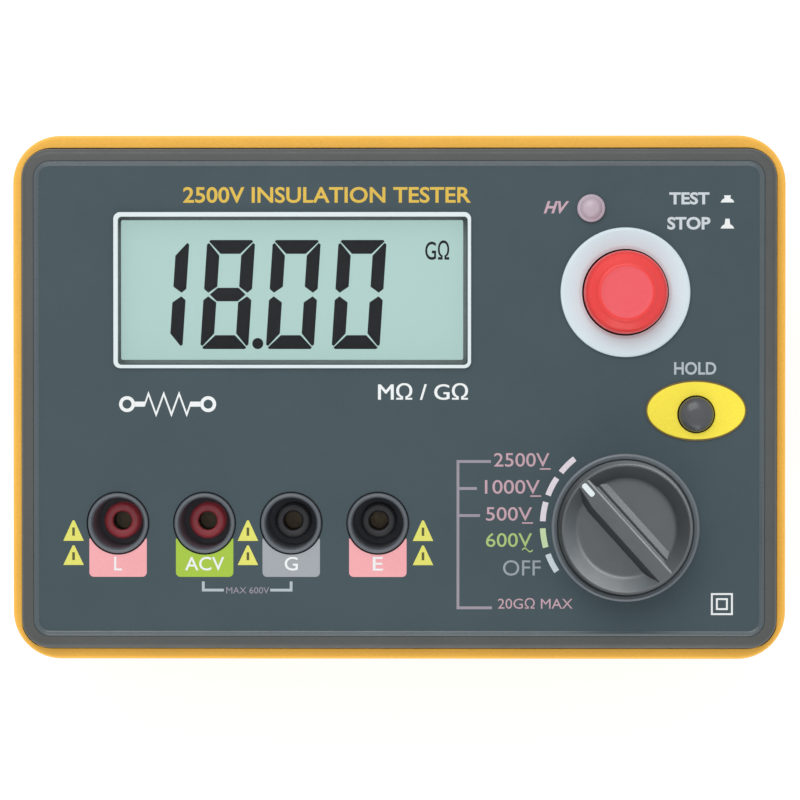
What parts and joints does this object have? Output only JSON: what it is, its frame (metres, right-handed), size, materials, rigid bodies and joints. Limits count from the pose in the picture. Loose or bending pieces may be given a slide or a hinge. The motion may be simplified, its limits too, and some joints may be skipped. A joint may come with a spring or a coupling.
{
  "type": "insulation resistance tester",
  "caption": "Bench insulation resistance tester: orange tub, dark front panel, large digital display, shrouded test sockets, latching test button and rotary range selector.",
  "frame": {"origin": "under the middle of the case, on the surface that the feet stand on", "axes": "+X to the panel's right, +Y to the panel's top, +Z out of the panel; the tester lies on its back"},
  "size_m": [0.17, 0.1152, 0.0726],
  "materials": {
    "orange_plastic": "fine moulded texture, satin",
    "dark_shell": "fine moulded texture, matte",
    "printed_overlay": "printed polycarbonate sheet with a fine velvet texture",
    "black_rubber": "matte",
    "white_plastic": "satin",
    "clear_window": "clear acrylic",
    "lcd_face": "grey-green reflective liquid crystal cell",
    "black_plastic": "satin black",
    "red_post": "satin",
    "brass_contact": "plated, slightly tarnished",
    "red_button": "satin",
    "pale_ring": "satin",
    "yellow_oval": "satin",
    "grey_button": "satin",
    "lamp_lens": "frosted translucent",
    "knob_plastic": "satin",
    "steel": "zinc plated",
    "circuit_board": "solder mask",
    "ferrite": "sintered",
    "cell_sleeve": "printed film sleeve"
  },
  "bodies": {
    "case": {"rear_case": "orange_plastic", "case_gasket": "black_rubber", "front_case": "dark_shell", "panel_overlay": "printed_overlay", "battery_cover": "orange_plastic", "battery_cover_screw": "steel", "case_screw_1": "steel", "case_screw_2": "steel", "case_screw_3": "steel", "case_screw_4": "steel", "foot_1": "black_rubber", "foot_2": "black_rubber", "foot_3": "black_rubber", "foot_4": "black_rubber", "display_bezel": "white_plastic", "display_window": "clear_window", "lcd_glass": "lcd_face", "lcd_holder": "black_plastic", "zebra_strip": "black_rubber", "test_button_ring": "pale_ring", "test_switch_body": "black_plastic", "test_switch_spring": "steel", "hold_bezel": "yellow_oval", "hold_switch": "black_plastic", "hv_lamp_lens": "lamp_lens", "hv_led": "red_button", "knob_escutcheon": "dark_shell", "rotary_switch_body": "black_plastic", "socket_sleeve_line": "black_plastic", "socket_sleeve_acv": "black_plastic", "socket_sleeve_guard": "black_plastic", "socket_sleeve_earth": "black_plastic", "socket_post_line": "red_post", "socket_post_acv": "red_post", "socket_post_guard": "black_plastic", "socket_post_earth": "black_plastic", "socket_contact_line": "brass_contact", "socket_contact_acv": "brass_contact", "socket_contact_guard": "brass_contact", "socket_contact_earth": "brass_contact", "main_pcb": "circuit_board", "hv_transformer": "ferrite", "hv_capacitor": "cell_sleeve", "controller_chip": "black_plastic", "input_fuse": "steel", "battery_tray": "black_plastic", "battery_cell_1": "cell_sleeve", "battery_cell_2": "cell_sleeve", "battery_cell_3": "cell_sleeve", "battery_cell_4": "cell_sleeve", "battery_cell_5": "cell_sleeve", "battery_cell_6": "cell_sleeve"},
    "selector": {"selector_knob": "knob_plastic", "knob_pointer": "white_plastic", "selector_shaft": "steel", "rotary_switch_rotor": "brass_contact"},
    "test_button": {"test_button_cap": "red_button", "test_switch_plunger": "white_plastic"},
    "hold_button": {"hold_button": "grey_button"}
  },
  "joints": [
    {"name": "selector_turn", "type": "hinge", "parent": "case", "child": "selector", "pos_m": [0.0495, -0.0283, 0.0624], "axis": [0, 0, 1], "range_deg": [0, 75]},
    {"name": "test_press", "type": "slide", "parent": "case", "child": "test_button", "axis": [0, 0, -1], "range_m": [0, 0.0032], "stiffness_N_per_m": 500, "springref_m": -0.002, "deforming": ["test_switch_spring"]},
    {"name": "hold_press", "type": "slide", "parent": "case", "child": "hold_button", "axis": [0, 0, -1], "range_m": [0, 0.0012], "stiffness_N_per_m": 600, "springref_m": -0.0008}
  ]
}
